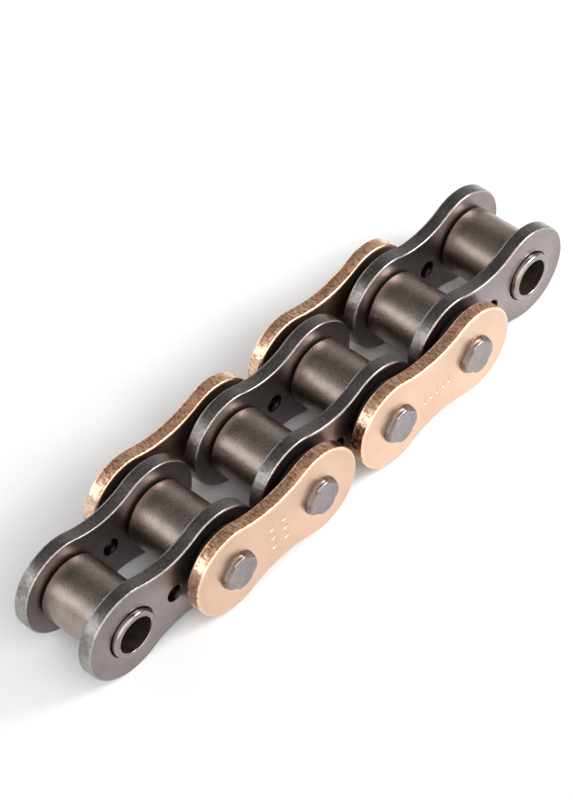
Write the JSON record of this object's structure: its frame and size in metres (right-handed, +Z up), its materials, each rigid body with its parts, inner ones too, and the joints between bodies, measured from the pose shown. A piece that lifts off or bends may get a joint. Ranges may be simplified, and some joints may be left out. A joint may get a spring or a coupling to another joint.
{
  "type": "motorcycle drive chain section",
  "caption": "Straight section of sealed-ring motorcycle roller chain with alternating roller links and pin links, ending in open bushes ready for joining pins.",
  "frame": {"origin": "on the supporting surface, under the middle of the chain", "axes": "+X along the chain, +Y along the pins towards the back plates, +Z up"},
  "size_m": [0.0946, 0.0236, 0.0149],
  "materials": {
    "inner_plate_steel": "dark grey heat-treated steel, shot-peened, with bright worn rims",
    "outer_plate_gold": "pale copper-gold plated steel, satin faces and rougher sheared rims",
    "roller_steel": "satin dark steel with fine turned grain",
    "bush_steel": "ground dark steel with a polished lip",
    "pin_steel": "ground grey steel, staked heads",
    "ring_rubber": "black nitrile rubber, slightly greasy"
  },
  "bodies": {
    "inner_link_1": {"inner_plate_front_1": "inner_plate_steel", "inner_plate_back_1": "inner_plate_steel", "bush_1": "bush_steel", "bush_2": "bush_steel", "x_ring_front_2": "ring_rubber", "x_ring_back_2": "ring_rubber"},
    "inner_link_2": {"inner_plate_front_2": "inner_plate_steel", "inner_plate_back_2": "inner_plate_steel", "bush_3": "bush_steel", "bush_4": "bush_steel", "x_ring_front_3": "ring_rubber", "x_ring_back_3": "ring_rubber", "x_ring_front_4": "ring_rubber", "x_ring_back_4": "ring_rubber"},
    "inner_link_3": {"inner_plate_front_3": "inner_plate_steel", "inner_plate_back_3": "inner_plate_steel", "bush_5": "bush_steel", "bush_6": "bush_steel", "x_ring_front_5": "ring_rubber", "x_ring_back_5": "ring_rubber"},
    "outer_link_1": {"outer_plate_front_1": "outer_plate_gold", "outer_plate_back_1": "outer_plate_gold", "pin_2": "pin_steel", "pin_3": "pin_steel"},
    "outer_link_2": {"outer_plate_front_2": "outer_plate_gold", "outer_plate_back_2": "outer_plate_gold", "pin_4": "pin_steel", "pin_5": "pin_steel"},
    "turning_roller_1": {"roller_1": "roller_steel"},
    "turning_roller_2": {"roller_2": "roller_steel"},
    "turning_roller_3": {"roller_3": "roller_steel"},
    "turning_roller_4": {"roller_4": "roller_steel"},
    "turning_roller_5": {"roller_5": "roller_steel"},
    "turning_roller_6": {"roller_6": "roller_steel"}
  },
  "joints": [
    {"name": "link_hinge_3", "type": "hinge", "parent": "inner_link_2", "child": "outer_link_1", "pos_m": [-0.00794, 0, 0.00745], "axis": [0, 1, 0], "range_deg": [-55, 55]},
    {"name": "link_hinge_2", "type": "hinge", "parent": "outer_link_1", "child": "inner_link_1", "pos_m": [-0.02381, 0, 0.00745], "axis": [0, 1, 0], "range_deg": [-55, 55]},
    {"name": "link_hinge_4", "type": "hinge", "parent": "inner_link_2", "child": "outer_link_2", "pos_m": [0.00794, 0, 0.00745], "axis": [0, -1, 0], "range_deg": [-55, 55]},
    {"name": "link_hinge_5", "type": "hinge", "parent": "outer_link_2", "child": "inner_link_3", "pos_m": [0.02381, 0, 0.00745], "axis": [0, -1, 0], "range_deg": [-55, 55]},
    {"name": "roller_spin_1", "type": "hinge", "parent": "inner_link_1", "child": "turning_roller_1", "pos_m": [-0.03969, 0, 0.00745], "axis": [0, 1, 0], "continuous": true},
    {"name": "roller_spin_2", "type": "hinge", "parent": "inner_link_1", "child": "turning_roller_2", "pos_m": [-0.02381, 0, 0.00745], "axis": [0, 1, 0], "continuous": true},
    {"name": "roller_spin_3", "type": "hinge", "parent": "inner_link_2", "child": "turning_roller_3", "pos_m": [-0.00794, 0, 0.00745], "axis": [0, 1, 0], "continuous": true},
    {"name": "roller_spin_4", "type": "hinge", "parent": "inner_link_2", "child": "turning_roller_4", "pos_m": [0.00794, 0, 0.00745], "axis": [0, 1, 0], "continuous": true},
    {"name": "roller_spin_5", "type": "hinge", "parent": "inner_link_3", "child": "turning_roller_5", "pos_m": [0.02381, 0, 0.00745], "axis": [0, 1, 0], "continuous": true},
    {"name": "roller_spin_6", "type": "hinge", "parent": "inner_link_3", "child": "turning_roller_6", "pos_m": [0.03969, 0, 0.00745], "axis": [0, 1, 0], "continuous": true}
  ]
}
